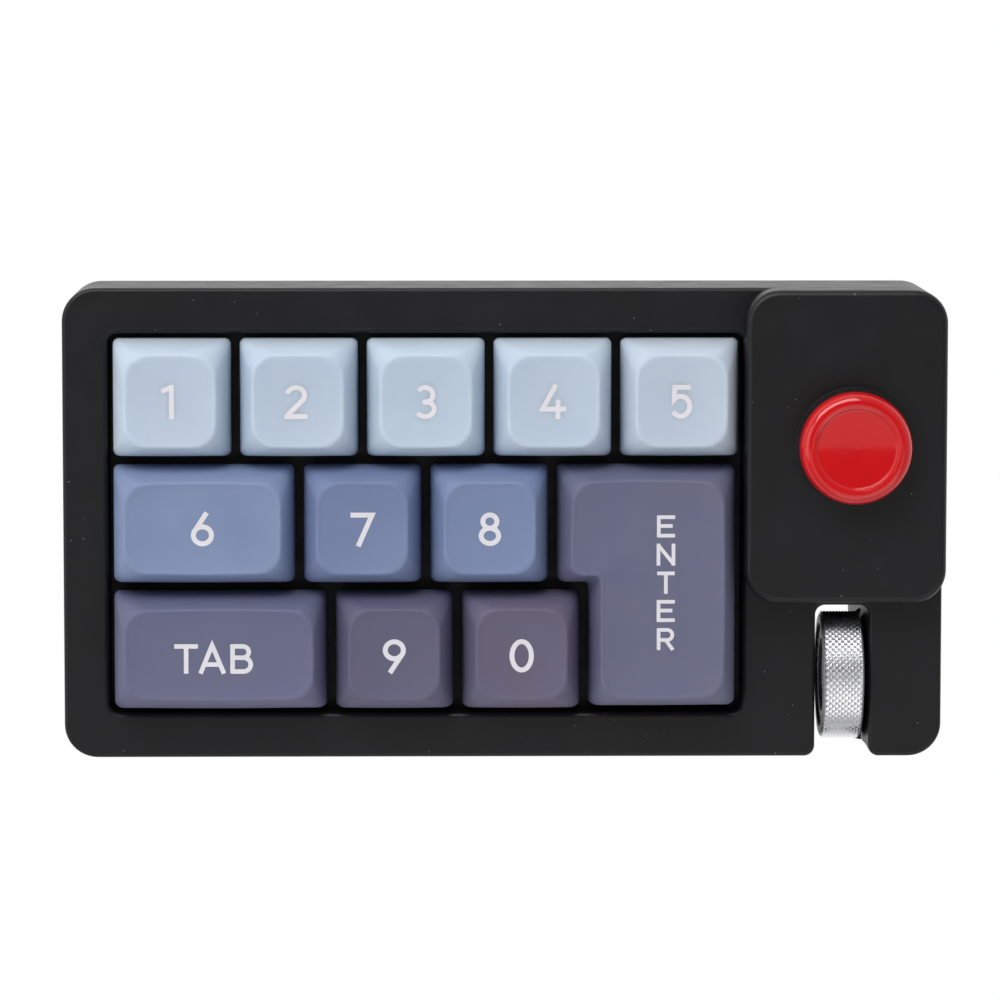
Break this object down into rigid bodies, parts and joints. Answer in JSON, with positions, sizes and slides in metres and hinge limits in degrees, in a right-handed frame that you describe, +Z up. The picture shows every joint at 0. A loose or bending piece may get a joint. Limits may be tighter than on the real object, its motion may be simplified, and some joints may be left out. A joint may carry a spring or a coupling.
{
  "type": "macro keypad",
  "caption": "Flat black macro keypad with dished number keys, an L-shaped enter key, a knurled thumb wheel in an open slot and a red thumb stick on a raised pod.",
  "frame": {"origin": "centre of the footprint, at the bottom of the feet", "axes": "+X to the right along the key rows, +Y to the back, +Z up out of the key tops"},
  "size_m": [0.1324, 0.071, 0.0335],
  "materials": {
    "case_black": "satin black moulded plastic",
    "plate_aluminium": "dark anodised plate",
    "board": "green circuit board",
    "switch_black": "black moulded plastic",
    "switch_stem": "red moulded plastic",
    "spring_steel": "drawn steel wire",
    "screw_steel": "zinc plated steel",
    "foot_rubber": "black rubber",
    "socket_steel": "formed steel shell",
    "wheel_steel": "knurled bright metal",
    "hub_black": "polished dark plastic",
    "axle_steel": "ground steel",
    "encoder_plastic": "dark plastic body",
    "stick_red": "glossy red plastic",
    "cap_pale_blue": "pale blue matt plastic",
    "cap_mid_blue": "mid blue matt plastic",
    "cap_slate": "slate violet matt plastic",
    "cap_dark_slate": "dark slate matt plastic",
    "cap_mauve": "mauve grey matt plastic"
  },
  "bodies": {
    "case": {"top_case": "case_black", "bottom_case": "case_black", "stick_pod": "case_black", "switch_plate": "plate_aluminium", "main_pcb": "board", "stick_board": "board", "switch_lower_housings": "switch_black", "switch_upper_housings": "switch_black", "stabiliser_housings": "switch_black", "plate_screws": "screw_steel", "case_screws": "screw_steel", "pod_screws": "screw_steel", "rubber_feet": "foot_rubber", "usb_socket": "socket_steel", "encoder_body": "encoder_plastic", "stick_housing": "switch_black", "switch_spring_1": "spring_steel", "switch_spring_2": "spring_steel", "switch_spring_3": "spring_steel", "switch_spring_4": "spring_steel", "switch_spring_5": "spring_steel", "switch_spring_6": "spring_steel", "switch_spring_7": "spring_steel", "switch_spring_8": "spring_steel", "switch_spring_9": "spring_steel", "switch_spring_0": "spring_steel", "switch_spring_tab": "spring_steel", "switch_spring_enter": "spring_steel"},
    "key_1": {"keycap_1": "cap_pale_blue", "switch_stem_1": "switch_stem"},
    "key_2": {"keycap_2": "cap_pale_blue", "switch_stem_2": "switch_stem"},
    "key_3": {"keycap_3": "cap_pale_blue", "switch_stem_3": "switch_stem"},
    "key_4": {"keycap_4": "cap_pale_blue", "switch_stem_4": "switch_stem"},
    "key_5": {"keycap_5": "cap_pale_blue", "switch_stem_5": "switch_stem"},
    "key_6": {"keycap_6": "cap_mid_blue", "switch_stem_6": "switch_stem"},
    "key_7": {"keycap_7": "cap_mid_blue", "switch_stem_7": "switch_stem"},
    "key_8": {"keycap_8": "cap_mid_blue", "switch_stem_8": "switch_stem"},
    "key_9": {"keycap_9": "cap_dark_slate", "switch_stem_9": "switch_stem"},
    "key_0": {"keycap_0": "cap_mauve", "switch_stem_0": "switch_stem"},
    "key_tab": {"keycap_tab": "cap_slate", "switch_stem_tab": "switch_stem"},
    "key_enter": {"keycap_enter": "cap_slate", "switch_stem_enter": "switch_stem", "stabiliser_stems": "switch_stem"},
    "wheel": {"wheel_ring": "wheel_steel", "wheel_hub": "hub_black", "wheel_axle": "axle_steel"},
    "gimbal": {"stick_gimbal": "switch_stem"},
    "stick": {"stick_stem": "switch_black", "stick_cap": "stick_red"}
  },
  "joints": [
    {"name": "key_1_press", "type": "slide", "parent": "case", "child": "key_1", "axis": [0, 0, -1], "range_m": [0, 0.004], "stiffness_N_per_m": 200, "springref_m": -0.0015, "deforming": ["switch_spring_1"]},
    {"name": "key_2_press", "type": "slide", "parent": "case", "child": "key_2", "axis": [0, 0, -1], "range_m": [0, 0.004], "stiffness_N_per_m": 200, "springref_m": -0.0015, "deforming": ["switch_spring_2"]},
    {"name": "key_3_press", "type": "slide", "parent": "case", "child": "key_3", "axis": [0, 0, -1], "range_m": [0, 0.004], "stiffness_N_per_m": 200, "springref_m": -0.0015, "deforming": ["switch_spring_3"]},
    {"name": "key_4_press", "type": "slide", "parent": "case", "child": "key_4", "axis": [0, 0, -1], "range_m": [0, 0.004], "stiffness_N_per_m": 200, "springref_m": -0.0015, "deforming": ["switch_spring_4"]},
    {"name": "key_5_press", "type": "slide", "parent": "case", "child": "key_5", "axis": [0, 0, -1], "range_m": [0, 0.004], "stiffness_N_per_m": 200, "springref_m": -0.0015, "deforming": ["switch_spring_5"]},
    {"name": "key_6_press", "type": "slide", "parent": "case", "child": "key_6", "axis": [0, 0, -1], "range_m": [0, 0.004], "stiffness_N_per_m": 200, "springref_m": -0.0015, "deforming": ["switch_spring_6"]},
    {"name": "key_7_press", "type": "slide", "parent": "case", "child": "key_7", "axis": [0, 0, -1], "range_m": [0, 0.004], "stiffness_N_per_m": 200, "springref_m": -0.0015, "deforming": ["switch_spring_7"]},
    {"name": "key_8_press", "type": "slide", "parent": "case", "child": "key_8", "axis": [0, 0, -1], "range_m": [0, 0.004], "stiffness_N_per_m": 200, "springref_m": -0.0015, "deforming": ["switch_spring_8"]},
    {"name": "key_9_press", "type": "slide", "parent": "case", "child": "key_9", "axis": [0, 0, -1], "range_m": [0, 0.004], "stiffness_N_per_m": 200, "springref_m": -0.0015, "deforming": ["switch_spring_9"]},
    {"name": "key_0_press", "type": "slide", "parent": "case", "child": "key_0", "axis": [0, 0, -1], "range_m": [0, 0.004], "stiffness_N_per_m": 200, "springref_m": -0.0015, "deforming": ["switch_spring_0"]},
    {"name": "key_tab_press", "type": "slide", "parent": "case", "child": "key_tab", "axis": [0, 0, -1], "range_m": [0, 0.004], "stiffness_N_per_m": 200, "springref_m": -0.0015, "deforming": ["switch_spring_tab"]},
    {"name": "key_enter_press", "type": "slide", "parent": "case", "child": "key_enter", "axis": [0, 0, -1], "range_m": [0, 0.004], "stiffness_N_per_m": 200, "springref_m": -0.0015, "deforming": ["switch_spring_enter"]},
    {"name": "wheel_spin", "type": "hinge", "parent": "case", "child": "wheel", "pos_m": [0.05133, -0.02397, 0.0131], "axis": [1, 0, 0], "continuous": true},
    {"name": "stick_front_back", "type": "hinge", "parent": "case", "child": "gimbal", "pos_m": [0.05212, 0.01227, 0.0185], "axis": [1, 0, 0], "range_deg": [-9, 9], "stiffness_Nm_per_rad": 0.02},
    {"name": "stick_side", "type": "hinge", "parent": "gimbal", "child": "stick", "pos_m": [0.05212, 0.01227, 0.0185], "axis": [0, 1, 0], "range_deg": [-9, 9], "stiffness_Nm_per_rad": 0.02}
  ]
}
